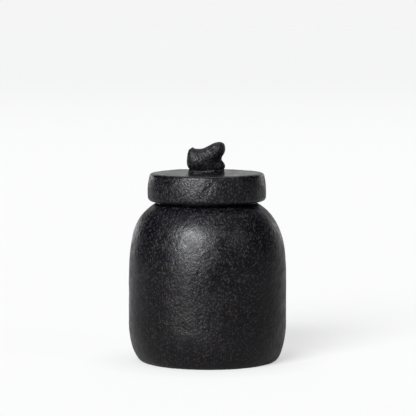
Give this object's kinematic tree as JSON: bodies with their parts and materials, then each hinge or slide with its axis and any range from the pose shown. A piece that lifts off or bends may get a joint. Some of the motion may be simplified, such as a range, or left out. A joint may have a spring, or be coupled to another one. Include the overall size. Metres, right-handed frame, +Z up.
{
  "type": "stoneware canister",
  "caption": "Black stoneware canister: hollow jar with a rounded shoulder and narrow neck, a thick lift-off cap lid, and a hand-pinched knob set in a coil of clay.",
  "frame": {"origin": "centre of the foot, on the surface that the canister stands on", "axes": "+Z up along the jar's turning axis; -Y is the front that faces the viewer; +X to the viewer's right, the side on which the knob's tall flap stands"},
  "size_m": [0.125, 0.125, 0.1744],
  "materials": {
    "jar_clay": "satin black stoneware with a pitted, leathery surface and small brown specks",
    "lid_clay": "satin black stoneware, smoother and dustier on top, pitted round the side",
    "knob_clay": "satin black stoneware, pinched and lumpy",
    "coil_clay": "satin black stoneware, pressed by fingertips"
  },
  "bodies": {
    "jar": {"jar_body": "jar_clay"},
    "lid": {"lid": "lid_clay", "knob": "knob_clay", "knob_coil": "coil_clay"}
  },
  "joints": [
    {"name": "lid_lift", "type": "slide", "parent": "jar", "child": "lid", "axis": [0, 0, 1], "range_m": [0, 0.08]}
  ]
}
